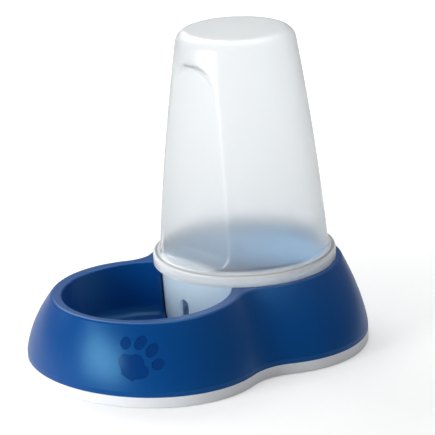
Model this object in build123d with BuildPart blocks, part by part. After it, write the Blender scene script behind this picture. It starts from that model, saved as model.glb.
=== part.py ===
from build123d import *
import math
import os

# Pet water dispenser: a hollow stand with a drinking bowl in front and a socket behind, a soft
# ring round its foot, and an airtight reservoir whose outlet cup hangs in the socket.
# Frame: +Z up, the floor at Z = 0, X = 0 the plane of symmetry, Y = 0 the middle of the foot,
# the bowl towards -Y. Every length is in millimetres.

os.makedirs("parts", exist_ok=True)

# Foot of the stand: two ellipses and the waist arcs between them. The centres are measured
# from the reservoir's axis towards the bowl
bowl_foot_half_width = 101.0
bowl_foot_half_length = 86.0
bowl_foot_reach = 106.0
tank_foot_half_width = 113.0
tank_foot_half_length = 90.0
tank_foot_reach = 8.0
foot_waist_radius = 42.0

# Rim of the stand
rim_height = 59.0
rim_plate = 3.0
rim_band_side = 9.5
rim_band_front = 6.8
rim_edge_radius = 3.0
rim_inner_edge_radius = 1.2
rim_waist_radius = 25.0

# Skirt of the stand: an upright lip, then a taper whose curve is 0 when straight, 1 when all bent
skirt_lip = 4.0
skirt_curve = 0.6
skirt_wall = 3.4
skirt_sections = 5

# Drinking bowl, whose centre is measured from the reservoir's axis too
bowl_reach = 102.7
bowl_mouth_radius = 65.5
bowl_floor_radius = 58.0
bowl_floor_height = 18.0
bowl_floor_fillet = 10.0
bowl_wall = 2.6

# Socket for the outlet cup
socket_gap = 1.2
socket_draft = 1.6
socket_floor_height = 4.6
socket_floor_fillet = 9.0
socket_wall = 2.6
cusp_radius = 4.0

# Anti-slip ring and the spigot that holds it
ring_height = 8.6
ring_width = 7.0
ring_edge_radius = 1.0
spigot_inset = 1.4
spigot_depth = 5.0
spigot_gap = 0.1

# Paw print sunk in the skirt: the height of its middle, its bearing from the bowl and its turn,
# then the right half of its pad, from the top lobe round the side lobe, and its toes, all drawn
# about that middle
paw_depth = 0.4
paw_height = 33.9
paw_bearing = -49.2
paw_turn = -31.0
paw_pad_half = (
    (0.0, 6.0),
    (4.0, 4.6),
    (6.4, 2.3),
    (9.7, 1.4),
    (12.6, -2.8),
    (10.6, -7.8),
    (5.4, -12.0),
    (0.0, -13.4),
)
paw_toe_width = 8.2
paw_toe_height = 11.8
paw_outer_toe_height = 9.8
paw_inner_toe = (5.2, 13.9)
paw_outer_toe = (14.5, 7.7)
paw_outer_toe_turn = 24.0

# Reservoir
tank_wall = 2.0
flange_radius = 72.5
flange_height = 8.2
flange_margin = 4.0
shoulder_height = 12.0
tank_bottom_radius = 66.6
tank_top_radius = 45.6
tank_belly = 1.85
tank_top_fillet = 10.8
tank_height = 246.0
shoulder_edge_radius = 2.0
shoulder_valley_radius = 3.0

# Grip sunk in the front of the reservoir; its plane leans between two distances from the axis
grip_top_height = 224.0
grip_arch_radius = 27.5
grip_top_distance = 44.4
grip_ledge_distance = 53.2
grip_ledge_margin = 0.6
grip_side_flare = 30.0
grip_edge_radius = 3.0
grip_ledge_radius = 12.0

# Outlet cup
cup_wall = 2.0
cup_top_radius = 66.3
cup_draft = 1.9
cup_floor_fillet = 12.0
cup_floor_gap = 1.4
cup_collar_height = 5.6
collar_gap = 0.3
slot_width = 9.5
slot_top_height = 41.0
slot_bottom_height = 14.0

# Seal ring
seal_height = 2.0
seal_width = 2.4

# Sizes that follow from the ones above
tank_y = (bowl_foot_reach + bowl_foot_half_length - tank_foot_half_length + tank_foot_reach) / 2
bowl_y = tank_y - bowl_reach
lip_top = ring_height + skirt_lip
socket_mouth_radius = cup_top_radius + socket_gap
socket_floor_radius = socket_mouth_radius - socket_draft
tank_rim_radius = flange_radius + flange_margin
cup_floor_height = socket_floor_height + cup_floor_gap
cup_floor_radius = cup_top_radius - cup_draft
tank_inner_radius = flange_radius - tank_wall
collar_radius = tank_inner_radius - collar_gap
collar_top = rim_height + cup_collar_height
seal_top = collar_top + seal_height
grip_ledge_height = seal_top + tank_wall + grip_ledge_margin
shoulder_top = rim_height + shoulder_height
flange_top = rim_height + flange_height

# Upright axes and section planes of the reservoir and of the bowl
tank_axis = Axis((0, tank_y, 0), (0, 0, 1))
bowl_axis = Axis((0, bowl_y, 0), (0, 0, 1))
tank_section = Plane.XZ.offset(-tank_y)
bowl_section = Plane.XZ.offset(-bowl_y)


def waist_tangents(front, rear, waist):
    """Angles at which one circle of radius waist touches both ellipses from outside.

    An ellipse is (half width, half length, centre along Y). The circle's centre lies one
    radius along the normal of each ellipse, so Newton steps close the gap between both points.
    """

    def offset_point(ellipse, angle):
        half_width, half_length, centre = ellipse
        normal_x = half_length * math.cos(angle)
        normal_y = half_width * math.sin(angle)
        size = math.hypot(normal_x, normal_y)
        x = half_width * math.cos(angle) + waist * normal_x / size
        y = centre + half_length * math.sin(angle) + waist * normal_y / size
        return x, y

    step = 1e-6
    front_angle = 0.7
    rear_angle = -0.7
    for _ in range(40):
        fx, fy = offset_point(front, front_angle)
        rx, ry = offset_point(rear, rear_angle)
        fx2, fy2 = offset_point(front, front_angle + step)
        rx2, ry2 = offset_point(rear, rear_angle + step)
        a, b = (fx2 - fx) / step, -(rx2 - rx) / step
        c, d = (fy2 - fy) / step, -(ry2 - ry) / step
        gap_x, gap_y = fx - rx, fy - ry
        scale = a * d - b * c
        front_angle -= max(-0.2, min(0.2, (gap_x * d - b * gap_y) / scale))
        rear_angle -= max(-0.2, min(0.2, (a * gap_y - c * gap_x) / scale))
    centre_point = offset_point(front, front_angle)
    return front_angle, rear_angle, centre_point


def on_ellipse(ellipse, angle):
    """Point of an ellipse (half width, half length, centre along Y) at a parameter angle."""
    half_width, half_length, centre = ellipse
    return half_width * math.cos(angle), centre + half_length * math.sin(angle)


def figure_eight(front, rear, waist, mode=Mode.ADD):
    """Face inside two ellipses and the two waist arcs that join them, in the open sketch."""
    front_angle, rear_angle, waist_centre = waist_tangents(front, rear, waist)
    front_end = on_ellipse(front, front_angle)
    rear_end = on_ellipse(rear, rear_angle)
    middle_x = (front_end[0] + rear_end[0]) / 2 - waist_centre[0]
    middle_y = (front_end[1] + rear_end[1]) / 2 - waist_centre[1]
    reach = waist / math.hypot(middle_x, middle_y)
    waist_middle = (waist_centre[0] + middle_x * reach, waist_centre[1] + middle_y * reach)
    with BuildLine() as outline:
        front_arc = math.degrees(front_angle) + 90
        EllipticalCenterArc((0, front[2]), front[0], front[1], -90, arc_size=front_arc)
        ThreePointArc(front_end, waist_middle, rear_end)
        rear_start = math.degrees(rear_angle)
        EllipticalCenterArc((0, rear[2]), rear[0], rear[1], rear_start, arc_size=90 - rear_start)
        mirror(about=Plane.YZ)
    make_face(outline.edges(), mode=mode)


def skirt_ellipses(height):
    """The two ellipses and the waist radius of the skirt at a height."""
    rise = max(0.0, (height - lip_top) / (rim_height - lip_top))
    blend = (1 - skirt_curve) * rise + skirt_curve * rise**2

    def mix(foot, rim):
        return foot + (rim - foot) * blend

    front = (
        mix(bowl_foot_half_width, bowl_mouth_radius + rim_band_side),
        mix(bowl_foot_half_length, bowl_mouth_radius + rim_band_front),
        mix(tank_y - bowl_foot_reach, bowl_y),
    )
    rear = (
        mix(tank_foot_half_width, tank_rim_radius),
        mix(tank_foot_half_length, tank_rim_radius),
        mix(tank_y - tank_foot_reach, tank_y),
    )
    return front, rear, mix(foot_waist_radius, rim_waist_radius)


def skirt_outline(height, inset, mode=Mode.ADD):
    """Figure of eight of the skirt at a height, drawn in by inset."""
    front, rear, waist = skirt_ellipses(height)
    inner_front = (front[0] - inset, front[1] - inset, front[2])
    inner_rear = (rear[0] - inset, rear[1] - inset, rear[2])
    figure_eight(inner_front, inner_rear, waist + inset, mode)


def skirt_skin(inset, top):
    """Solid inside the skirt, drawn in by inset, from the ring up to a height."""
    with BuildPart() as skin:
        for step in range(skirt_sections + 1):
            height = lip_top + (top - lip_top) * step / skirt_sections
            with BuildSketch(Plane.XY.offset(height)):
                skirt_outline(height, inset)
        loft()
        with BuildSketch(Plane.XY.offset(ring_height)):
            skirt_outline(ring_height, inset)
        extrude(amount=skirt_lip)
    return skin.part


def skirt_plane(height, bearing, turn):
    """Plane that touches the skirt in front of the bowl, at a height and a bearing.

    Its X is level, and then turned about the plane's own normal.
    """
    angle = math.radians(bearing)
    step = 0.5

    def skin_point(at_height, at_angle):
        front = skirt_ellipses(at_height)[0]
        return Vector(*on_ellipse(front, at_angle), at_height)

    middle = skin_point(height, angle)
    along = skin_point(height, angle + step / bowl_foot_half_width) - middle
    upward = skin_point(height + step, angle) - middle
    normal = along.cross(upward)
    return Plane(origin=middle, x_dir=along.rotate(Axis((0, 0, 0), normal), turn), z_dir=normal)


def room_profile(profile, grow, floor_radius, floor_height, mouth_radius, corner_radius):
    """Half section of a tapered round room up to the rim, grown on its outside by grow."""
    corner_point = (floor_radius + grow, floor_height - grow)
    mouth_point = (mouth_radius + grow, rim_height)
    with BuildLine() as section:
        Polyline((0, floor_height - grow), corner_point, mouth_point, (0, rim_height), close=True)
    make_face(section.edges())
    fillet(profile.vertices().sort_by_distance(corner_point)[0], corner_radius + grow)


def stand_rooms(bowl_grow, socket_grow):
    """Solid that fills the bowl and the socket, each grown on its outside."""
    with BuildPart() as rooms:
        with BuildSketch(bowl_section) as bowl_profile:
            room_profile(
                bowl_profile,
                bowl_grow,
                bowl_floor_radius,
                bowl_floor_height,
                bowl_mouth_radius,
                bowl_floor_fillet,
            )
        revolve(axis=bowl_axis)
        with BuildSketch(tank_section) as socket_profile:
            room_profile(
                socket_profile,
                socket_grow,
                socket_floor_radius,
                socket_floor_height,
                socket_mouth_radius,
                socket_floor_fillet,
            )
        revolve(axis=tank_axis)
        fillet(rooms.edges().filter_by(GeomType.BSPLINE), cusp_radius)
    return rooms.part


def tank_profile(profile, wall, flange_points):
    """Half section of the reservoir, or of the room inside it when wall is not 0."""
    body_middle = (shoulder_top + tank_height) / 2
    middle_radius = (tank_bottom_radius + tank_top_radius) / 2 + tank_belly
    body_start = (tank_bottom_radius - wall, shoulder_top - wall / 2)
    body_end = (tank_top_radius - wall, tank_height - wall)
    with BuildLine() as section:
        Polyline((0, rim_height), *flange_points, body_start)
        ThreePointArc(body_start, (middle_radius - wall, body_middle), body_end)
        Polyline(body_end, (0, tank_height - wall), (0, rim_height))
    make_face(section.edges())
    fillet(profile.vertices().sort_by_distance(body_end)[0], tank_top_fillet - wall)
    fillet(profile.vertices().sort_by_distance(body_start)[0], shoulder_valley_radius + wall)


def grip_cutter(inset):
    """Solid that sinks the grip: a door shape in front of a leaning plane.

    Its arch runs on into two straight sides that touch it, and spread by the flare down to the
    ledge. The back's edges are rounded, so the grip's floor curves up into the arch.
    """
    arch = grip_arch_radius + inset
    arch_centre = grip_top_height - grip_arch_radius
    ledge = grip_ledge_height - inset
    side = arch + grip_side_flare
    drop = arch_centre - ledge
    spring_angle = math.acos(arch / math.hypot(side, drop)) - math.atan2(drop, side)
    spring_x = arch * math.cos(spring_angle)
    spring_z = arch_centre + arch * math.sin(spring_angle)
    lean = Plane(
        origin=(0, tank_y - grip_ledge_distance + inset, grip_ledge_height),
        x_dir=(1, 0, 0),
        z_dir=(0, grip_ledge_height - grip_top_height, grip_ledge_distance - grip_top_distance),
    )
    with BuildPart() as cutter:
        with BuildSketch(tank_section):
            with BuildLine():
                Polyline((-spring_x, spring_z), (-side, ledge), (side, ledge), (spring_x, spring_z))
                ThreePointArc((spring_x, spring_z), (0, arch_centre + arch), (-spring_x, spring_z))
            make_face()
        extrude(amount=2 * flange_radius)
        split(bisect_by=lean, keep=Keep.TOP)
        back = cutter.faces().sort_by(Axis.Y)[-1]
        fillet(back.edges().sort_by(Axis.Z)[0], grip_ledge_radius + inset)
        back = cutter.faces().filter_by(GeomType.PLANE).sort_by(Axis.Y)[-1]
        fillet(back.edges().sort_by(Axis.Z)[1:], grip_edge_radius + inset)
    return cutter.part


# Paw print: a pad and four toes through the skirt's skin, down to the depth of the print
with BuildPart() as paw_print:
    with BuildSketch(skirt_plane(paw_height, paw_bearing, paw_turn)):
        with BuildLine():
            Spline(paw_pad_half, tangents=((1, 0), (-1, 0)))
            mirror(about=Plane.YZ)
        make_face()
        with Locations((-paw_inner_toe[0], paw_inner_toe[1]), paw_inner_toe):
            Ellipse(paw_toe_width / 2, paw_toe_height / 2)
        for side in (-1, 1):
            with Locations((side * paw_outer_toe[0], paw_outer_toe[1])):
                Ellipse(paw_toe_width / 2, paw_outer_toe_height / 2, rotation=-side * paw_outer_toe_turn)
    extrude(amount=skirt_wall, both=True)
    add(skirt_skin(paw_depth, rim_height), mode=Mode.SUBTRACT)

# Stand: a hollow skirt and a rim plate with the bowl and the socket let into them
with BuildPart() as base:
    add(skirt_skin(0, rim_height))
    fillet(base.faces().sort_by(Axis.Z)[-1].edges(), rim_edge_radius)
    add(skirt_skin(skirt_wall, rim_height - rim_plate), mode=Mode.SUBTRACT)
    add(stand_rooms(bowl_wall, socket_wall))
    add(stand_rooms(0, 0), mode=Mode.SUBTRACT)
    fillet(base.faces().sort_by(Axis.Z)[-1].inner_wires()[0].edges(), rim_inner_edge_radius)
    add(paw_print.part, mode=Mode.SUBTRACT)
    with BuildSketch(Plane.XY.offset(ring_height)):
        skirt_outline(ring_height, spigot_inset)
        skirt_outline(ring_height, skirt_wall, mode=Mode.SUBTRACT)
    extrude(amount=-spigot_depth)

# Anti-slip ring with the groove for the spigot
with BuildPart() as anti_slip_ring:
    with BuildSketch(Plane.XY):
        skirt_outline(0, 0)
        skirt_outline(0, ring_width, mode=Mode.SUBTRACT)
    extrude(amount=ring_height)
    with BuildSketch(Plane.XY.offset(ring_height)):
        skirt_outline(0, spigot_inset - spigot_gap)
        skirt_outline(0, skirt_wall + spigot_gap, mode=Mode.SUBTRACT)
    extrude(amount=-(spigot_depth + spigot_gap), mode=Mode.SUBTRACT)
    fillet(anti_slip_ring.faces().sort_by(Axis.Z)[0].outer_wire().edges(), ring_edge_radius)

# Room inside the reservoir, with a land under the shoulder that presses on the seal ring
with BuildPart() as tank_room:
    with BuildSketch(tank_section) as tank_room_profile:
        land_radius = tank_inner_radius - seal_width
        tank_profile(
            tank_room_profile,
            tank_wall,
            [(tank_inner_radius, rim_height), (tank_inner_radius, seal_top), (land_radius, seal_top)],
        )
    revolve(axis=tank_axis)
    add(grip_cutter(tank_wall), mode=Mode.SUBTRACT)

# Reservoir: bell, shoulder and flange, with the grip sunk in the front
with BuildPart() as reservoir:
    with BuildSketch(tank_section) as tank_outer_profile:
        tank_profile(tank_outer_profile, 0, [(flange_radius, rim_height), (flange_radius, flange_top)])
        shoulder_point = tank_outer_profile.vertices().sort_by_distance((flange_radius, flange_top))[0]
        fillet(shoulder_point, shoulder_edge_radius)
    revolve(axis=tank_axis)
    add(grip_cutter(0), mode=Mode.SUBTRACT)
    add(tank_room.part, mode=Mode.SUBTRACT)

# Outlet cup: a rounded cup with a collar round its mouth and one arched slot facing the bowl
with BuildPart() as outlet_cup:
    with BuildSketch(tank_section) as cup_profile:
        room_profile(cup_profile, 0, cup_floor_radius, cup_floor_height, cup_top_radius, cup_floor_fillet)
    revolve(axis=tank_axis)
    with BuildSketch(Plane.XY.offset(rim_height)):
        with Locations((0, tank_y)):
            Circle(collar_radius)
    extrude(amount=cup_collar_height)
    with BuildSketch(tank_section) as cup_room_profile:
        room_profile(
            cup_room_profile, -cup_wall, cup_floor_radius, cup_floor_height, cup_top_radius, cup_floor_fillet
        )
    revolve(axis=tank_axis, mode=Mode.SUBTRACT)
    with BuildSketch(Plane.XY.offset(rim_height)):
        with Locations((0, tank_y)):
            Circle(cup_top_radius - cup_wall)
    extrude(amount=cup_wall, mode=Mode.SUBTRACT)
    with BuildSketch(Plane.XY.offset(rim_height + cup_wall)):
        with Locations((0, tank_y)):
            Circle(collar_radius - cup_wall)
    extrude(amount=cup_collar_height - cup_wall, mode=Mode.SUBTRACT)
    with BuildSketch(tank_section):
        with Locations((0, (slot_top_height + slot_bottom_height) / 2)):
            SlotOverall(slot_top_height - slot_bottom_height, slot_width, rotation=90)
    extrude(amount=cup_top_radius + cup_wall, mode=Mode.SUBTRACT)

# Seal ring between the cup's collar and the land in the reservoir
with BuildPart() as seal_ring:
    with BuildSketch(Plane.XY.offset(collar_top)):
        with Locations((0, tank_y)):
            Circle(collar_radius)
            Circle(tank_inner_radius - seal_width, mode=Mode.SUBTRACT)
    extrude(amount=seal_height)

base.part.label = "base"
export_step(base.part, "parts/base.step")

anti_slip_ring.part.label = "anti_slip_ring"
export_step(anti_slip_ring.part, "parts/anti_slip_ring.step")

reservoir.part.label = "reservoir"
export_step(reservoir.part, "parts/reservoir.step")

outlet_cup.part.label = "outlet_cup"
export_step(outlet_cup.part, "parts/outlet_cup.step")

seal_ring.part.label = "seal_ring"
export_step(seal_ring.part, "parts/seal_ring.step")
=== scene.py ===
import logging
import math
from dataclasses import dataclass, field
from enum import Enum

import bpy
import numpy as np
from mathutils import Matrix, Vector


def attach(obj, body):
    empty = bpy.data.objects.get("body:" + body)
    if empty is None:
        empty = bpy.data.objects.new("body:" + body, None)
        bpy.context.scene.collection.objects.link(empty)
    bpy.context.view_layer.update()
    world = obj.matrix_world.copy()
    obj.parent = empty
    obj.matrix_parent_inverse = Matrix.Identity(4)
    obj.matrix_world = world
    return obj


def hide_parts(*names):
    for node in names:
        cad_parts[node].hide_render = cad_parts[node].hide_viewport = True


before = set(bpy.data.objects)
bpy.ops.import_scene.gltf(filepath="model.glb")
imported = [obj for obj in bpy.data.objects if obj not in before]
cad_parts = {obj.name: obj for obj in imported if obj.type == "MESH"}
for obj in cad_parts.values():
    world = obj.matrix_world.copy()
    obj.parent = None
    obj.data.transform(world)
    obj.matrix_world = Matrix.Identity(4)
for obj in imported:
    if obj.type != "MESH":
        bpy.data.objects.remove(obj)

# Looks of the pet water dispenser: a satin blue stand on a white anti-slip ring, and a milky
# reservoir on its clouded outlet cup. Lengths in the classes are millimetres, in the frame of
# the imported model: +Z up, the bowl towards -Y. Meshes are written in metres.

logging.basicConfig(level=logging.INFO, format="%(message)s")
log = logging.getLogger("dispenser")

MM = 0.001
NOISE_LOW, NOISE_HIGH = 0.3, 0.7  # most values of a noise texture lie between these


class Body(Enum):
    """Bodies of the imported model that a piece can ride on."""

    STAND = "stand"
    OUTLET = "outlet"
    TANK = "tank"


class Slot(Enum):
    """Name of the milky plastic's material slot; nothing in this script reads it."""

    MILKY = "milky_plastic"


def linear(hex_colour: str) -> tuple[float, float, float, float]:
    """Turns an sRGB hex colour into linear red, green, blue and an alpha of 1.

    Args:
        hex_colour: Six hex digits, such as "0D6DA7".

    Returns:
        The linear colour that a shader socket takes.
    """
    channels = [int(hex_colour[i:i + 2], 16) / 255 for i in (0, 2, 4)]
    curve = [c / 12.92 if c <= 0.04045 else ((c + 0.055) / 1.055) ** 2.4 for c in channels]
    return (*curve, 1.0)


def add_node(tree: bpy.types.NodeTree, kind: str, settings: dict | None = None,
             links: dict | None = None, **values: object) -> bpy.types.Node:
    """Adds a node with its settings, its socket values and its incoming links.

    Args:
        tree: Node tree that takes the node.
        kind: Type of the node, without the ShaderNode prefix.
        settings: Attributes of the node, such as operation.
        links: Incoming links, from the input's name or number to an output socket.
        values: Input values by socket name, with _ for a blank, or s0, s1 for a number.

    Returns:
        The new node.
    """
    node = tree.nodes.new("ShaderNode" + kind)
    for name, value in (settings or {}).items():
        setattr(node, name, value)
    for name, value in values.items():
        key = int(name[1:]) if name[0] == "s" and name[1:].isdigit() else name.replace("_", " ")
        node.inputs[key].default_value = value
    for key, socket in (links or {}).items():
        tree.links.new(socket, node.inputs[key])
    return node


def new_material(name: str) -> tuple[bpy.types.Material, bpy.types.NodeTree, bpy.types.Node]:
    """Makes an empty material with an output node.

    Args:
        name: Name of the material.

    Returns:
        The material, its node tree and its output node.
    """
    material = bpy.data.materials.new(name)
    material.use_nodes = True
    material.node_tree.nodes.clear()
    output = add_node(material.node_tree, "OutputMaterial")
    return material, material.node_tree, output


def dress(piece: bpy.types.Object, material: bpy.types.Material) -> None:
    """Gives a piece one material, in place of any it has."""
    piece.data.materials.clear()
    piece.data.materials.append(material)


def rounded_path(points: list[tuple[float, float, float]], arc_steps: int = 10,
                 least_turn: float = 1e-4) -> np.ndarray:
    """Rounds the corners of a path in the half plane of radius and height.

    Each corner is cut back by radius * tan(half of the turn) along both of its sides, and an arc
    of that radius joins the two ends.

    Args:
        points: Radius, height and corner radius of each point. Ends take a corner radius of 0.
        arc_steps: Number of steps along each arc.
        least_turn: Half turn in radians, below which a corner counts as straight.

    Returns:
        Array of radius and height, one row for each point of the rounded path.
    """
    path = [np.array(points[0][:2])]
    for before, here, after in zip(points, points[1:], points[2:]):
        corner, radius = np.array(here[:2]), here[2]
        back = np.array(before[:2]) - corner
        ahead = np.array(after[:2]) - corner
        back /= np.linalg.norm(back)
        ahead /= np.linalg.norm(ahead)
        half_angle = math.acos(np.clip(back @ ahead, -1, 1)) / 2
        if radius <= 0 or half_angle > math.pi / 2 - least_turn:
            path.append(corner)
            continue
        middle = (back + ahead) / np.linalg.norm(back + ahead)
        centre = corner + middle * radius / math.sin(half_angle)
        start = corner + back * radius / math.tan(half_angle) - centre
        end = corner + ahead * radius / math.tan(half_angle) - centre
        turn = math.pi - 2 * half_angle
        share = np.linspace(0, 1, arc_steps + 1)[:, None]
        arc = (start * np.sin((1 - share) * turn) + end * np.sin(share * turn)) / math.sin(turn)
        path.extend(centre + arc)
    path.append(np.array(points[-1][:2]))
    return np.array(path)


def smooth_least(a: np.ndarray, b: np.ndarray, width: float) -> np.ndarray:
    """Least of two fields, with a round of the given width where they cross.

    The blend h falls from 1 to 0 as a passes b, and the result is b + (a - b) h - width h (1 - h).

    Args:
        a: First field.
        b: Second field, of the same shape.
        width: Difference between the fields at which the round begins.

    Returns:
        The blended field.
    """
    h = np.clip(0.5 + 0.5 * (b - a) / width, 0, 1)
    return b + (a - b) * h - width * h * (1 - h)


def smooth_most(a: np.ndarray, b: np.ndarray, width: float) -> np.ndarray:
    """Greatest of two fields, with a round of the given width where they cross."""
    return -smooth_least(-a, -b, width)


def ring_grid(name: str, points: np.ndarray, first_pole: tuple[float, float, float],
              last_pole: tuple[float, float, float] | None) -> bpy.types.Object:
    """Makes a mesh from a grid of points whose columns close round an axis.

    Rows run along the profile and columns round the axis. Each cell is a quad, and a pole closes
    an end row with a fan of triangles. Without a last pole, the last row stays open.

    Args:
        name: Name of the piece.
        points: Array of rows, columns and x, y, z in millimetres.
        first_pole: Point before the first row, in millimetres.
        last_pole: Point after the last row, in millimetres, or None.

    Returns:
        The new object, at the origin, smooth shaded.
    """
    rows, columns, _ = points.shape
    index = np.arange(rows * columns).reshape(rows, columns)
    a, b = index[:-1], index[1:]
    quads = np.stack([a, b, np.roll(b, -1, 1), np.roll(a, -1, 1)], -1).reshape(-1, 4)
    vertices = np.vstack([points.reshape(-1, 3), first_pole])
    pole = np.full(columns, len(vertices) - 1)
    triangles = np.stack([pole, index[0], np.roll(index[0], -1)], -1)
    if last_pole is not None:
        vertices = np.vstack([vertices, last_pole])
        last_fan = np.stack([np.roll(index[-1], -1), index[-1], pole + 1], -1)
        triangles = np.concatenate([triangles, last_fan])
    return surface(name, vertices, quads, triangles)


def surface(name: str, vertices: np.ndarray, quads: np.ndarray,
            triangles: np.ndarray) -> bpy.types.Object:
    """Writes quads and triangles into a new smooth mesh and links its object.

    Args:
        name: Name of the piece.
        vertices: Points in millimetres, one row each.
        quads: Indices of four points for each quad.
        triangles: Indices of three points for each triangle.

    Returns:
        The new object, at the origin.
    """
    mesh = bpy.data.meshes.new(name)
    mesh.vertices.add(len(vertices))
    mesh.vertices.foreach_set("co", (vertices * MM).astype(np.float32).ravel())
    loops = np.concatenate([quads.ravel(), triangles.ravel()]).astype(np.int32)
    sizes = np.concatenate([np.full(len(quads), 4), np.full(len(triangles), 3)]).astype(np.int32)
    starts = np.concatenate([[0], np.cumsum(sizes)[:-1]]).astype(np.int32)
    mesh.loops.add(len(loops))
    mesh.loops.foreach_set("vertex_index", loops)
    mesh.polygons.add(len(sizes))
    mesh.polygons.foreach_set("loop_start", starts)
    mesh.update(calc_edges=True)
    mesh.polygons.foreach_set("use_smooth", np.ones(len(sizes), bool))
    mesh.validate()
    piece = bpy.data.objects.new(name, mesh)
    bpy.context.scene.collection.objects.link(piece)
    return piece


@dataclass(frozen=True)
class SatinPolypropylene:
    """Blue polypropylene, injection moulded in a spark-eroded mould with a polished paw print.

    The fine grain of the mould spreads a lamp into a broad soft sheen. The print lies a fraction
    of a millimetre below the skin and is polished, so it mirrors less of a soft lamp; its darker
    colour is painted shade that stands in for that lost sheen. Its mask is the horizontal depth
    below the skirt's own ellipse, near the print. The real grain is some 0.1 mm wide, and is drawn
    coarser so that it shows.
    """

    colour: str = "00448C"
    # darker blue of the print: painted shade, in place of the sheen its polish doesn't catch
    print_painted_shade: str = "003478"
    sheen_colour: str = "8CE2FF"
    ior: float = 1.49
    specular: float = 0.52
    roughness: float = 0.34
    roughness_spread: float = 0.03
    print_roughness: float = 0.2
    flow_size: float = 38.0
    flow_shade: float = 0.1
    grain_size: float = 0.7
    grain_bump: float = 0.05
    grain_depth: float = 0.2

    # Skirt in front, from its ellipse at the foot to the one at the rim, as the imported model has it
    foot_half_width: float = 101.0
    foot_half_length: float = 86.0
    foot_centre: float = -51.0
    rim_half_width: float = 75.0
    rim_half_length: float = 72.3
    rim_centre: float = -47.7
    lip_top: float = 12.6
    rim_height: float = 59.0
    curve: float = 0.6
    local_radius: float = 84.0

    # Print: its middle on the skirt, its reach, and the depths between which its mask rises
    print_centre: tuple[float, float, float] = (60.7, -111.9, 33.9)
    print_reach: float = 24.0
    skin_depth: float = 0.12
    print_depth: float = 0.3

    def print_mask(self, tree: bpy.types.NodeTree, place: bpy.types.NodeSocket) -> bpy.types.NodeSocket:
        """Mask of the sunk paw print.

        With t the height above the lip as a share, e = (1 - curve) t + curve t^2 mixes the foot's
        ellipse into the rim's. Depth is (1 - F) times the local radius, with F the distance from
        the ellipse's centre in units of its half axes. The mask rises from 0 at skin_depth to 1
        at print_depth, and ends at print_reach from the middle of the print.

        Args:
            tree: Node tree of the material.
            place: Socket with the object's coordinates.

        Returns:
            Socket that is 1 on the floor of the print and 0 elsewhere.
        """
        axes = add_node(tree, "SeparateXYZ", links={0: place})
        share = add_node(tree, "MapRange", links={0: axes.outputs[2]}, From_Min=self.lip_top * MM,
                         From_Max=self.rim_height * MM)
        bend = add_node(tree, "Math", {"operation": "MULTIPLY_ADD"}, {0: share.outputs[0]},
                        s1=self.curve, s2=1 - self.curve)
        blend = add_node(tree, "Math", {"operation": "MULTIPLY"},
                         {0: share.outputs[0], 1: bend.outputs[0]})

        def mixed(foot: float, rim: float) -> bpy.types.NodeSocket:
            """Turns a size at the foot and one at the rim into the size at the blend, in metres."""
            node = add_node(tree, "MapRange", {"clamp": False}, {0: blend.outputs[0]},
                            To_Min=foot * MM, To_Max=rim * MM)
            return node.outputs[0]

        width = mixed(self.foot_half_width, self.rim_half_width)
        length = mixed(self.foot_half_length, self.rim_half_length)
        centre = mixed(self.foot_centre, self.rim_centre)
        along_x = add_node(tree, "Math", {"operation": "DIVIDE"}, {0: axes.outputs[0], 1: width})
        offset = add_node(tree, "Math", {"operation": "SUBTRACT"}, {0: axes.outputs[1], 1: centre})
        along_y = add_node(tree, "Math", {"operation": "DIVIDE"}, {0: offset.outputs[0], 1: length})
        flat = add_node(tree, "CombineXYZ", links={0: along_x.outputs[0], 1: along_y.outputs[0]})
        reach = add_node(tree, "VectorMath", {"operation": "LENGTH"}, {0: flat.outputs[0]})
        depth = add_node(tree, "Math", {"operation": "MULTIPLY_ADD"}, {0: reach.outputs["Value"]},
                         s1=-self.local_radius, s2=self.local_radius)
        sunk = add_node(tree, "MapRange", links={0: depth.outputs[0]}, From_Min=self.skin_depth,
                        From_Max=self.print_depth)
        distance = add_node(tree, "VectorMath", {"operation": "DISTANCE"}, {0: place},
                            s1=[c * MM for c in self.print_centre])
        near = add_node(tree, "Math", {"operation": "LESS_THAN"}, {0: distance.outputs["Value"]},
                        s1=self.print_reach * MM)
        mask = add_node(tree, "Math", {"operation": "MULTIPLY"},
                        {0: sunk.outputs[0], 1: near.outputs[0]})
        return mask.outputs[0]

    def material(self) -> bpy.types.Material:
        """Builds the node material.

        Returns:
            The new material.
        """
        material, tree, output = new_material("satin_blue_polypropylene")
        place = add_node(tree, "TexCoord").outputs["Object"]
        mask = self.print_mask(tree, place)
        flow = add_node(tree, "TexNoise", links={"Vector": place}, Scale=1 / (self.flow_size * MM),
                        Detail=2.0, Roughness=0.5)
        grain = add_node(tree, "TexNoise", links={"Vector": place}, Scale=1 / (self.grain_size * MM),
                         Detail=1.0, Roughness=0.5)
        skin = add_node(tree, "MixRGB", {"blend_type": "MULTIPLY"}, {2: flow.outputs["Fac"]},
                        Fac=self.flow_shade, Color1=linear(self.colour))
        # painted shade: the print takes a darker blue in place of the sheen its polish loses
        colour = add_node(tree, "MixRGB", {}, {0: mask, 1: skin.outputs[0]},
                          Color2=linear(self.print_painted_shade))
        rough = add_node(tree, "MapRange", links={0: grain.outputs["Fac"]}, From_Min=NOISE_LOW,
                         From_Max=NOISE_HIGH, To_Min=self.roughness - self.roughness_spread,
                         To_Max=self.roughness + self.roughness_spread)
        finish = add_node(tree, "MixRGB", {}, {0: mask, 1: rough.outputs[0]},
                          Color2=(self.print_roughness,) * 3 + (1.0,))
        bump = add_node(tree, "Bump", links={"Height": grain.outputs["Fac"]},
                        Strength=self.grain_bump, Distance=self.grain_depth * MM)
        shader = add_node(tree, "BsdfPrincipled",
                          links={"Base Color": colour.outputs[0], "Roughness": finish.outputs[0],
                                 "Normal": bump.outputs[0]},
                          IOR=self.ior, Specular_IOR_Level=self.specular,
                          Specular_Tint=linear(self.sheen_colour))
        tree.links.new(shader.outputs[0], output.inputs[0])
        return material


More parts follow.
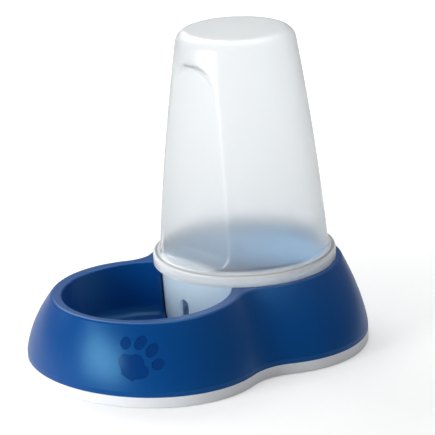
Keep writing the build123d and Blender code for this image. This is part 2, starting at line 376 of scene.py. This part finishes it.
@dataclass(frozen=True)
class WhiteElastomer:
    """White thermoplastic elastomer, moulded matt so that the foot grips the floor.

    It gives an even white with a faint cool cast and a fine dry grain, and hardly any gloss.
    """

    colour: str = "EFF2F6"
    ior: float = 1.5
    specular: float = 0.4
    roughness: float = 0.5
    patch_size: float = 25.0
    patch_shade: float = 0.05
    grain_size: float = 0.9
    grain_bump: float = 0.08
    grain_depth: float = 0.2

    def material(self) -> bpy.types.Material:
        """Builds the node material.

        Returns:
            The new material.
        """
        material, tree, output = new_material("matt_white_elastomer")
        place = add_node(tree, "TexCoord").outputs["Object"]
        patch = add_node(tree, "TexNoise", links={"Vector": place},
                         Scale=1 / (self.patch_size * MM), Detail=2.0)
        grain = add_node(tree, "TexNoise", links={"Vector": place},
                         Scale=1 / (self.grain_size * MM), Detail=1.0)
        colour = add_node(tree, "MixRGB", {"blend_type": "MULTIPLY"}, {2: patch.outputs["Fac"]},
                          Fac=self.patch_shade, Color1=linear(self.colour))
        bump = add_node(tree, "Bump", links={"Height": grain.outputs["Fac"]},
                        Strength=self.grain_bump, Distance=self.grain_depth * MM)
        shader = add_node(tree, "BsdfPrincipled",
                          links={"Base Color": colour.outputs[0], "Normal": bump.outputs[0]},
                          Roughness=self.roughness, IOR=self.ior, Specular_IOR_Level=self.specular)
        tree.links.new(shader.outputs[0], output.inputs[0])
        return material


@dataclass(frozen=True)
class MilkyPolypropylene:
    """Uncoloured polypropylene, injection moulded: a milky wall that blurs what lies behind it.

    Its crystals scatter light inside the wall, so it glows softly, shows a colour behind it as a
    haze and hides its outline. The skin is smooth, with a slight unevenness from the mould, so a
    lamp is mirrored in a thin coat over the rough body. A lamp_share of its light passes each face,
    so the inside is lit and the wall's shadow is pale. The coat has the plastic's own index, and
    the body a lower one, because scattered light hides most of the body's own gleam.
    """

    name: str = "milky_polypropylene"
    colour: str = "F2F4F5"
    passed: float = 0.9
    passed_flange: float = 0.5
    clouded_top: float = 68.4
    clouded_blend: float = 1.4
    roughness: float = 0.3
    ior: float = 1.32
    specular: float = 0.15
    gloss: float = 0.16
    gloss_ior: float = 1.49
    gloss_roughness: float = 0.12
    lamp_share: float = 0.8
    patch_size: float = 30.0
    patch_shade: float = 0.02
    wave_bump: float = 0.03
    wave_depth: float = 1.0

    def vary(self, tree: bpy.types.NodeTree, place: bpy.types.NodeSocket, shader: bpy.types.Node,
             skin: bpy.types.Node) -> None:
        """Clouds the thick flange below the shoulder, where less of the light passes.

        Args:
            tree: Node tree of the material.
            place: Socket with the object's coordinates.
            shader: Principled node of the wall.
            skin: Node with the wall's colour; not used here. The outlet's plastic mixes it with painted
                light.
        """
        axes = add_node(tree, "SeparateXYZ", links={0: place})
        passed = add_node(tree, "MapRange", links={0: axes.outputs[2]},
                          From_Min=(self.clouded_top - self.clouded_blend) * MM,
                          From_Max=(self.clouded_top + self.clouded_blend) * MM,
                          To_Min=self.passed_flange, To_Max=self.passed)
        tree.links.new(passed.outputs[0], shader.inputs["Transmission Weight"])

    def material(self) -> bpy.types.Material:
        """Builds the node material.

        Returns:
            The new material.
        """
        material, tree, output = new_material(self.name)
        place = add_node(tree, "TexCoord").outputs["Object"]
        patch = add_node(tree, "TexNoise", links={"Vector": place},
                         Scale=1 / (self.patch_size * MM), Detail=2.0)
        skin = add_node(tree, "MixRGB", {"blend_type": "MULTIPLY"}, {2: patch.outputs["Fac"]},
                        Fac=self.patch_shade, Color1=linear(self.colour))
        bump = add_node(tree, "Bump", links={"Height": patch.outputs["Fac"]},
                        Strength=self.wave_bump, Distance=self.wave_depth * MM)
        shader = add_node(tree, "BsdfPrincipled",
                          links={"Base Color": skin.outputs[0], "Normal": bump.outputs[0]},
                          Roughness=self.roughness, IOR=self.ior, Specular_IOR_Level=self.specular,
                          Transmission_Weight=self.passed, Coat_Weight=self.gloss,
                          Coat_Roughness=self.gloss_roughness, Coat_IOR=self.gloss_ior)
        self.vary(tree, place, shader, skin)
        path = add_node(tree, "LightPath")
        lamp = add_node(tree, "Math", {"operation": "MULTIPLY"}, {0: path.outputs["Is Shadow Ray"]},
                        s1=self.lamp_share)
        clear = add_node(tree, "BsdfTransparent", Color=linear(self.colour))
        wall = add_node(tree, "MixShader",
                        links={0: lamp.outputs[0], 1: shader.outputs[0], 2: clear.outputs[0]})
        tree.links.new(wall.outputs[0], output.inputs[0])
        return material


@dataclass(frozen=True)
class CloudedPolypropylene(MilkyPolypropylene):
    """Uncoloured polypropylene of the outlet cup, moulded with a finer texture on its front.

    The front wall stands free in the bowl and looks clouded. The wall behind lies against the
    socket; the blue light that the socket sends through it is painted into its colour. Its foot,
    the floor and the collar are clearer.
    """

    name: str = "clouded_polypropylene"
    colour: str = "E4F2F9"
    # painted light: the socket's blue shining through the rear wall, painted into its colour
    painted_socket_colour: str = "B2DAF6"
    roughness: float = 0.4
    passed_front: float = 0.38
    passed_low: float = 0.97
    passed_behind: float = 0.24
    front_limit: float = 30.0
    front_blend: float = 16.0
    socket_top: float = 30.0
    socket_blend: float = 5.0
    floor_top: float = 9.5
    collar_bottom: float = 58.0
    edge_blend: float = 1.0

    def vary(self, tree: bpy.types.NodeTree, place: bpy.types.NodeSocket, shader: bpy.types.Node,
             skin: bpy.types.Node) -> None:
        """Mixes the front's finish into the one behind, whose colour is painted with the socket's blue
        light, and both into collar and floor.

        Args:
            tree: Node tree of the material.
            place: Socket with the object's coordinates.
            shader: Principled node of the wall.
            skin: Node with the front wall's colour.
        """
        axes = add_node(tree, "SeparateXYZ", links={0: place})

        def past(axis: int, limit: float, blend: float) -> bpy.types.NodeSocket:
            """Socket that rises from 0 to 1 as the coordinate passes the limit."""
            node = add_node(tree, "MapRange", links={0: axes.outputs[axis]},
                            From_Min=(limit - blend) * MM, From_Max=(limit + blend) * MM)
            return node.outputs[0]

        behind = past(1, self.front_limit, self.front_blend)
        walls = add_node(tree, "Math", {"operation": "SUBTRACT"},
                         {0: past(2, self.floor_top, self.edge_blend),
                          1: past(2, self.collar_bottom, self.edge_blend)})
        low = add_node(tree, "MapRange", links={0: past(2, self.socket_top, self.socket_blend)},
                       To_Min=self.passed_low, To_Max=self.passed_behind)
        share = add_node(tree, "MapRange", links={0: behind, "To Max": low.outputs[0]},
                         To_Min=self.passed_front)
        passed = add_node(tree, "MapRange", links={0: walls.outputs[0], "To Max": share.outputs[0]},
                          To_Min=self.passed_low)
        # painted light: the rear wall takes the socket's blue glow as painted colour
        painted_tint = add_node(tree, "MixRGB", {}, {0: behind, 1: skin.outputs[0]},
                        Color2=linear(self.painted_socket_colour))
        tree.links.new(passed.outputs[0], shader.inputs["Transmission Weight"])
        tree.links.new(painted_tint.outputs[0], shader.inputs["Base Color"])


@dataclass(frozen=True)
class SealSilicone:
    """Translucent silicone, moulded: a soft dull ring with a slightly yellow body."""

    colour: str = "DCDAD2"
    passed: float = 0.3
    ior: float = 1.41
    roughness: float = 0.55
    grain_size: float = 0.8
    grain_shade: float = 0.06

    def material(self) -> bpy.types.Material:
        """Builds the node material.

        Returns:
            The new material.
        """
        material, tree, output = new_material("translucent_silicone")
        place = add_node(tree, "TexCoord").outputs["Object"]
        grain = add_node(tree, "TexNoise", links={"Vector": place},
                         Scale=1 / (self.grain_size * MM), Detail=1.0)
        colour = add_node(tree, "MixRGB", {"blend_type": "MULTIPLY"}, {2: grain.outputs["Fac"]},
                          Fac=self.grain_shade, Color1=linear(self.colour))
        shader = add_node(tree, "BsdfPrincipled", links={"Base Color": colour.outputs[0]},
                          Roughness=self.roughness, IOR=self.ior, Transmission_Weight=self.passed)
        tree.links.new(shader.outputs[0], output.inputs[0])
        return material


@dataclass
class Stand:
    """Blue stand with its bowl and socket, on the white anti-slip ring."""

    skin: SatinPolypropylene = field(default_factory=SatinPolypropylene)
    foot: WhiteElastomer = field(default_factory=WhiteElastomer)

    def build(self) -> list[bpy.types.Object]:
        """Dresses the stand's two nodes.

        Returns:
            The base and the anti-slip ring.
        """
        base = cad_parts["base"]
        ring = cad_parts["anti_slip_ring"]
        dress(base, self.skin.material())
        dress(ring, self.foot.material())
        return [base, ring]


@dataclass
class Reservoir:
    """Upright bell with a domed top, a grip sunk in its front and a flange round its mouth."""

    axis_y: float = 55.0
    wall: float = 2.0
    rim_height: float = 59.0
    flange_radius: float = 72.5
    flange_height: float = 8.2
    flange_edge: float = 2.0
    collar_height: float = 5.6
    seal_height: float = 2.0
    seal_width: float = 2.4
    shoulder_height: float = 12.0
    valley_radius: float = 3.0
    bottom_radius: float = 66.6
    top_radius: float = 45.6
    belly: float = 1.85
    top_fillet: float = 10.8
    height: float = 246.0

    # Grip: its floor leans between two distances from the axis, and its outline is a door's. Where
    # the skin faces away, past the least cosine, the distance that stands for no floor is used
    grip_top: float = 224.0
    grip_arch: float = 27.5
    grip_top_distance: float = 44.4
    grip_ledge_distance: float = 53.2
    grip_flare: float = 30.0
    ledge_margin: float = 0.6
    ledge_round: float = 12.0
    ledge_round_share: float = 0.992
    ledge_slope: float = 8.0
    ledge_slope_start: float = 0.75
    arch_wall: float = 2.2
    corner_blend: float = 2.4
    edge_blend: float = 0.9
    least_facing: float = 0.2
    no_floor: float = 999.0

    # Grid: points down the section, closer together at the ledge, and columns round the axis. The
    # bell's points end a margin below the top's round, and the grip a margin below its ledge
    columns: int = 256
    front_crowding: float = 0.62
    top_steps: int = 12
    body_steps: int = 96
    ledge_steps: int = 26
    ledge_zone: float = 14.0
    valley_share: float = 0.6
    slope_steps: int = 13
    ledge_spread: float = 0.22
    margin: float = 1.0

    plastic: MilkyPolypropylene = field(default_factory=MilkyPolypropylene)

    @property
    def shoulder_top(self) -> float:
        """Height at which the shoulder meets the bell."""
        return self.rim_height + self.shoulder_height

    @property
    def land_height(self) -> float:
        """Height of the land inside, which presses on the seal on the cup's collar."""
        return self.rim_height + self.collar_height + self.seal_height

    @property
    def land_radius(self) -> float:
        """Inner radius of that land."""
        return self.flange_radius - self.wall - self.seal_width

    @property
    def ledge_height(self) -> float:
        """Height of the grip's ledge, a wall and a margin above the land."""
        return self.land_height + self.wall + self.ledge_margin

    def body_radius(self, z: np.ndarray, inset: float) -> np.ndarray:
        """Radius of the bell: a straight taper plus a parabola for its belly, less the inset.

        Args:
            z: Heights.
            inset: 0 for the outer skin, or the wall for the inner one.

        Returns:
            Radii at those heights.
        """
        share = (z - self.shoulder_top) / (self.height - self.shoulder_top)
        taper = self.bottom_radius + (self.top_radius - self.bottom_radius) * share
        return taper + 4 * self.belly * share * (1 - share) - inset

    def profile(self, inset: float) -> np.ndarray:
        """Section from the middle of the top down to the mouth, as radius and height.

        The bell's curve and the shoulder's slope have more points at the grip's ledge, and the
        corners at the top, the valley and the flange are arcs.

        Args:
            inset: 0 for the outer skin, or the wall for the inner one.

        Returns:
            Array of radius and height, from the top to the mouth.
        """
        top, foot = self.height - inset, self.shoulder_top - inset / 2
        valley = self.valley_radius + inset
        flat = np.linspace(0, self.top_radius - self.top_fillet, self.top_steps)[1:-1]
        upper = np.linspace(top, foot + self.ledge_zone, self.body_steps)[1:]
        lower = np.linspace(foot + self.ledge_zone, foot + valley * self.valley_share,
                            self.ledge_steps)[1:]
        heights = np.concatenate([upper, lower])
        heights = heights[heights < top - self.top_fillet + inset - self.margin]
        points = [(0.0, top, 0.0)]
        points += [(radius, top, 0.0) for radius in flat]
        points.append((self.top_radius - inset, top, self.top_fillet - inset))
        points += [(radius, z, 0.0) for radius, z in zip(self.body_radius(heights, inset), heights)]
        corner = np.array([self.bottom_radius - inset, foot])
        flange_top = np.array([self.flange_radius, self.rim_height + self.flange_height])
        slope_end = np.array([self.land_radius, self.land_height]) if inset else flange_top
        ledge_share = (foot - self.ledge_height + inset) / (foot - slope_end[1])
        points.append((*corner, valley))
        for share in ledge_share + self.ledge_spread * np.linspace(-1, 1, self.slope_steps)**3:
            points.append((*(corner + (slope_end - corner) * share), 0.0))
        if inset:
            points.append((self.land_radius, self.land_height, 0.0))
            points.append((self.flange_radius - inset, self.land_height, 0.0))
        else:
            points.append((*flange_top, self.flange_edge))
        points.append((self.flange_radius - inset, self.rim_height, 0.0))
        return rounded_path(points)

    def grip_floor(self, z: np.ndarray, inset: float) -> np.ndarray:
        """Distance of the grip's floor from the axis, straight in front.

        The floor is a leaning plane. It curves out to the ledge by a quarter round, which stops
        just short of its end, and then rises steeply.

        Args:
            z: Heights of the skin.
            inset: 0 for the outer skin, or the wall for the inner one.

        Returns:
            Distances at those heights.
        """
        lean = (self.grip_ledge_distance - self.grip_top_distance) / (self.grip_top - self.ledge_height)
        radius = self.ledge_round + inset
        ledge = self.ledge_height - inset
        rise = np.clip(ledge + radius - z, 0, radius * self.ledge_round_share)
        slope_top = ledge + (1 - self.ledge_round_share) * radius + self.ledge_slope_start
        plane = self.grip_ledge_distance - inset - (z - self.ledge_height) * lean
        plane = plane + radius - np.sqrt(radius**2 - rise**2)
        return plane + self.ledge_slope * np.clip(slope_top - z, 0, None)

    def inside_outline(self, across: np.ndarray, z: np.ndarray, inset: float) -> np.ndarray:
        """Distance inside the grip's outline: an arch on two straight sides that touch it.

        The sides spread by the flare down to the ledge. Above the line from the arch's centre to
        the point where a side springs, the distance is to the arch, and below it to the side.

        Args:
            across: Distances from the middle plane.
            z: Heights of the skin.
            inset: 0 for the outer skin, or the wall for the inner one.

        Returns:
            Distances, below 0 outside the outline.
        """
        arch = self.grip_arch + inset
        centre = self.grip_top - self.grip_arch
        side, drop = arch + self.grip_flare, centre - self.ledge_height + inset
        spring = math.acos(arch / math.hypot(side, drop)) - math.atan2(drop, side)
        in_arch = arch - np.hypot(across, z - centre)
        in_side = arch - (across * math.cos(spring) + (z - centre) * math.sin(spring))
        return np.where(z > centre + across * math.tan(spring), in_arch, in_side)

    def grip_depth(self, radius: np.ndarray, z: np.ndarray, angle: np.ndarray,
                   inset: float) -> np.ndarray:
        """Depth of the grip below the reservoir's skin.

        The floor at a distance d in front lies at d / cos(angle) from the axis. The depth is the
        least of the floor's and of a wall that climbs from the outline, never under 0, with a
        round at each change.

        Args:
            radius: Radii of the skin.
            z: Heights of the skin.
            angle: Angles round the axis from the front.
            inset: 0 for the outer skin, or the wall for the inner one.

        Returns:
            Depths, 0 outside the grip.
        """
        facing = np.cos(angle)
        floor = np.where(facing > self.least_facing,
                         self.grip_floor(z, inset) / np.clip(facing, self.least_facing, None),
                         self.no_floor)
        climb = self.arch_wall * self.inside_outline(np.abs(radius * np.sin(angle)), z, inset)
        depth = smooth_least(radius - floor, climb, self.corner_blend)
        return np.maximum(smooth_most(depth, np.zeros_like(depth), self.edge_blend), 0)

    def skin(self, inset: float) -> np.ndarray:
        """Points of one skin as a grid: rows down the section, columns round the axis.

        A column at the share s of the round stands at the angle 2 pi s - crowding sin(2 pi s) from
        the front, so the columns crowd at the grip. The grip's depth comes off the radius.

        Args:
            inset: 0 for the outer skin, or the wall for the inner one.

        Returns:
            Array of rows, columns and x, y, z in millimetres.
        """
        section = self.profile(inset)
        turn = 2 * math.pi * np.arange(self.columns) / self.columns
        angle = (turn - self.front_crowding * np.sin(turn))[None, :]
        radius, z = section[:, :1], section[:, 1:]
        has_grip = (z < self.height - self.top_fillet) & (z > self.ledge_height - inset - self.margin)
        radius = radius - self.grip_depth(radius, z, angle, inset) * has_grip
        x = radius * np.sin(angle)
        y = self.axis_y - radius * np.cos(angle)
        return np.stack([x, y, np.broadcast_to(z, x.shape)], -1)

    def build(self) -> list[bpy.types.Object]:
        """Joins the outer and the inner skin at the mouth, and closes both at the top.

        Returns:
            The reservoir.
        """
        outer, inner = self.skin(0.0), self.skin(self.wall)
        points = np.concatenate([outer[1:], inner[1:][::-1]])
        first_pole = (0.0, self.axis_y, self.height)
        last_pole = (0.0, self.axis_y, self.height - self.wall)
        bell = ring_grid("reservoir_bell", points, first_pole, last_pole)
        dress(bell, self.plastic.material())
        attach(bell, Body.TANK.value)
        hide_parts("reservoir")
        return [bell]


@dataclass
class Outlet:
    """Clouded cup that hangs in the socket, with its arched slot, and the seal on its collar."""

    plastic: MilkyPolypropylene = field(default_factory=CloudedPolypropylene)
    seal: SealSilicone = field(default_factory=SealSilicone)

    def build(self) -> list[bpy.types.Object]:
        """Dresses the outlet's two nodes.

        Returns:
            The cup and the seal ring.
        """
        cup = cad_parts["outlet_cup"]
        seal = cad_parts["seal_ring"]
        dress(cup, self.plastic.material())
        dress(seal, self.seal.material())
        return [cup, seal]


@dataclass
class SoftBox:
    """Rectangular studio lamp, placed by its bearing and elevation round the object."""

    name: str
    bearing: float
    elevation: float
    distance: float
    width: float
    height: float
    watts: float
    colour: str = "FFFFFF"


@dataclass
class Studio:
    """Pale floor, plain soft light and the camera at the photograph's angle."""

    # Camera, matched to the photograph's outlines, and the nearest and farthest depth it shows
    image_side: float = 435.0
    sensor_width: float = 36.0
    focal_pixels: float = 2504.89
    camera_distance: float = 1959.82
    camera_bearing: float = 48.675
    camera_elevation: float = 17.988
    camera_roll: float = 2.6226
    camera_target: tuple[float, float, float] = (0.0, 28.147, 98.565)
    nearest: float = 50.0
    farthest: float = 50000.0

    # Lamps, each with its bearing and elevation in degrees, and the world's light
    light_target: tuple[float, float, float] = (0.0, 0.0, 90.0)
    lamps: tuple[SoftBox, ...] = (
        SoftBox("window_left", -104, 42, distance=1300, width=700, height=700, watts=5.8),
        SoftBox("low_left", -6, 12, distance=1300, width=700, height=560, watts=12.2),
        SoftBox("overhead", 200, 78, distance=1300, width=900, height=900, watts=7),
        SoftBox("strip_left", -45.5, 8.25, distance=341, width=28, height=72, watts=0.012),
    )
    fill_strength: float = 0.2
    mirrored_strength: float = 0.1

    # Floor: paper near the object, and a white glow that grows between the two radii
    floor_radius: float = 6000.0
    floor_rings: tuple[float, ...] = (0.02, 0.06, 0.16, 0.4, 1.0)
    floor_columns: int = 96
    floor_colour: str = "F4F4F4"
    floor_roughness: float = 0.9
    grain_size: float = 2.5
    grain_shade: float = 0.01
    floor_lift: float = 0.26
    far_lift: float = 1.3
    near_radius: float = 180.0
    far_radius: float = 700.0

    def direction(self, bearing: float, elevation: float) -> Vector:
        """Unit vector from a bearing and an elevation.

        Args:
            bearing: Degrees from -Y, turning to +X.
            elevation: Degrees above the floor.

        Returns:
            The vector that points there.
        """
        turn, rise = math.radians(bearing), math.radians(elevation)
        level = math.cos(rise)
        return Vector((math.sin(turn) * level, -math.cos(turn) * level, math.sin(rise)))

    def add_camera(self) -> None:
        """Places the camera, rolled about its own axis, and makes it the scene's."""
        back = self.direction(self.camera_bearing, self.camera_elevation)
        bearing = math.radians(self.camera_bearing)
        level = Vector((math.cos(bearing), math.sin(bearing), 0.0))
        upright = back.cross(level)
        roll = math.radians(self.camera_roll)
        right = level * math.cos(roll) - upright * math.sin(roll)
        up = level * math.sin(roll) + upright * math.cos(roll)
        data = bpy.data.cameras.new("camera")
        data.sensor_width = self.sensor_width
        data.lens = self.focal_pixels * self.sensor_width / self.image_side
        data.clip_start, data.clip_end = self.nearest * MM, self.farthest * MM
        camera = bpy.data.objects.new("camera", data)
        place = (Vector(self.camera_target) + back * self.camera_distance) * MM
        turn = Matrix((right, up, back)).transposed()
        camera.matrix_world = Matrix.Translation(place) @ turn.to_4x4()
        bpy.context.scene.collection.objects.link(camera)
        bpy.context.scene.camera = camera

    def add_lamps(self) -> None:
        """Adds the softboxes, each turned to the object."""
        target = Vector(self.light_target) * MM
        for box in self.lamps:
            data = bpy.data.lights.new(box.name, "AREA")
            data.shape = "RECTANGLE"
            data.size, data.size_y = box.width * MM, box.height * MM
            data.energy = box.watts
            data.color = linear(box.colour)[:3]
            lamp = bpy.data.objects.new(box.name, data)
            lamp.visible_camera = False
            lamp.location = target + self.direction(box.bearing, box.elevation) * box.distance * MM
            lamp.rotation_mode = "QUATERNION"
            lamp.rotation_quaternion = (target - lamp.location).to_track_quat("-Z", "Y")
            bpy.context.scene.collection.objects.link(lamp)

    def shown(self, tree: bpy.types.NodeTree) -> bpy.types.NodeSocket:
        """Socket that is 1 for camera and transmission rays and 0 for diffuse light.

        A glossy ray gets mirrored_strength, so the white surroundings show in gloss as the soft
        grey that a dim studio gives.

        Args:
            tree: Node tree of the material or the world.

        Returns:
            Socket with that strength.
        """
        path = add_node(tree, "LightPath")
        seen = add_node(tree, "Math", {"operation": "MAXIMUM"},
                        {0: path.outputs["Is Camera Ray"], 1: path.outputs["Is Transmission Ray"]})
        mirrored = add_node(tree, "Math", {"operation": "MULTIPLY"},
                            {0: path.outputs["Is Glossy Ray"]}, s1=self.mirrored_strength)
        both = add_node(tree, "Math", {"operation": "MAXIMUM"},
                        {0: seen.outputs[0], 1: mirrored.outputs[0]})
        return both.outputs[0]

    def add_world(self) -> None:
        """Adds a world that is white to the eye and through plastic, and a dim even fill otherwise."""
        world = bpy.data.worlds.new("studio")
        world.use_nodes = True
        tree = world.node_tree
        tree.nodes.clear()
        strength = add_node(tree, "MapRange", links={0: self.shown(tree)}, To_Min=self.fill_strength,
                            To_Max=1.0)
        light = add_node(tree, "Background", links={"Strength": strength.outputs[0]},
                         Color=(1.0, 1.0, 1.0, 1.0))
        output = add_node(tree, "OutputWorld")
        tree.links.new(light.outputs[0], output.inputs[0])
        bpy.context.scene.world = world

    def add_floor(self) -> None:
        """Adds a large pale disc at height 0, which keeps the object's shadow.

        Its paper is lit near the object. Farther out it fades to black and glows white instead,
        for the eye and through plastic, so that no edge shows against the world.
        """
        rings = np.array(self.floor_rings)[:, None] * self.floor_radius
        angle = np.linspace(0, 2 * math.pi, self.floor_columns, endpoint=False)[None, :]
        points = np.stack([rings * np.cos(angle), rings * np.sin(angle), 0 * rings * angle], -1)
        floor = ring_grid("studio_floor", points, (0.0, 0.0, 0.0), None)
        material, tree, output = new_material("studio_paper")
        place = add_node(tree, "TexCoord").outputs["Object"]
        grain = add_node(tree, "TexNoise", links={"Vector": place},
                         Scale=1 / (self.grain_size * MM), Detail=1.0)
        colour = add_node(tree, "MixRGB", {"blend_type": "MULTIPLY"}, {2: grain.outputs["Fac"]},
                          Fac=self.grain_shade, Color1=linear(self.floor_colour))
        reach = add_node(tree, "VectorMath", {"operation": "LENGTH"}, {0: place})
        far = add_node(tree, "MapRange", {"interpolation_type": "SMOOTHSTEP"},
                       {0: reach.outputs["Value"]}, From_Min=self.near_radius * MM,
                       From_Max=self.far_radius * MM)
        glow = add_node(tree, "MapRange", links={0: far.outputs[0]}, To_Min=self.floor_lift,
                        To_Max=self.far_lift)
        shown = self.shown(tree)
        lift = add_node(tree, "Math", {"operation": "MULTIPLY"}, {0: shown, 1: glow.outputs[0]})
        faded = add_node(tree, "Math", {"operation": "MULTIPLY"}, {0: shown, 1: far.outputs[0]})
        paper = add_node(tree, "MixRGB", {}, {0: faded.outputs[0], 1: colour.outputs[0]},
                         Color2=(0.0, 0.0, 0.0, 1.0))
        shader = add_node(tree, "BsdfPrincipled",
                          links={"Base Color": paper.outputs[0], "Emission Strength": lift.outputs[0]},
                          Roughness=self.floor_roughness, Specular_IOR_Level=0.0,
                          Emission_Color=(1.0, 1.0, 1.0, 1.0))
        tree.links.new(shader.outputs[0], output.inputs[0])
        dress(floor, material)

    def build(self) -> None:
        """Sets the view up and adds camera, light and floor."""
        bpy.context.scene.view_settings.view_transform = "Standard"
        self.add_camera()
        self.add_lamps()
        self.add_world()
        self.add_floor()


def main() -> None:
    """Builds the studio and the pieces."""
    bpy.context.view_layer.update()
    Studio().build()
    for body, part in ((Body.STAND, Stand()), (Body.TANK, Reservoir()), (Body.OUTLET, Outlet())):
        for piece in part.build():
            log.info("%s on %s: %s, %d faces", type(part).__name__, body.value, piece.name,
                     len(piece.data.polygons))


if __name__ == "__main__":
    main()
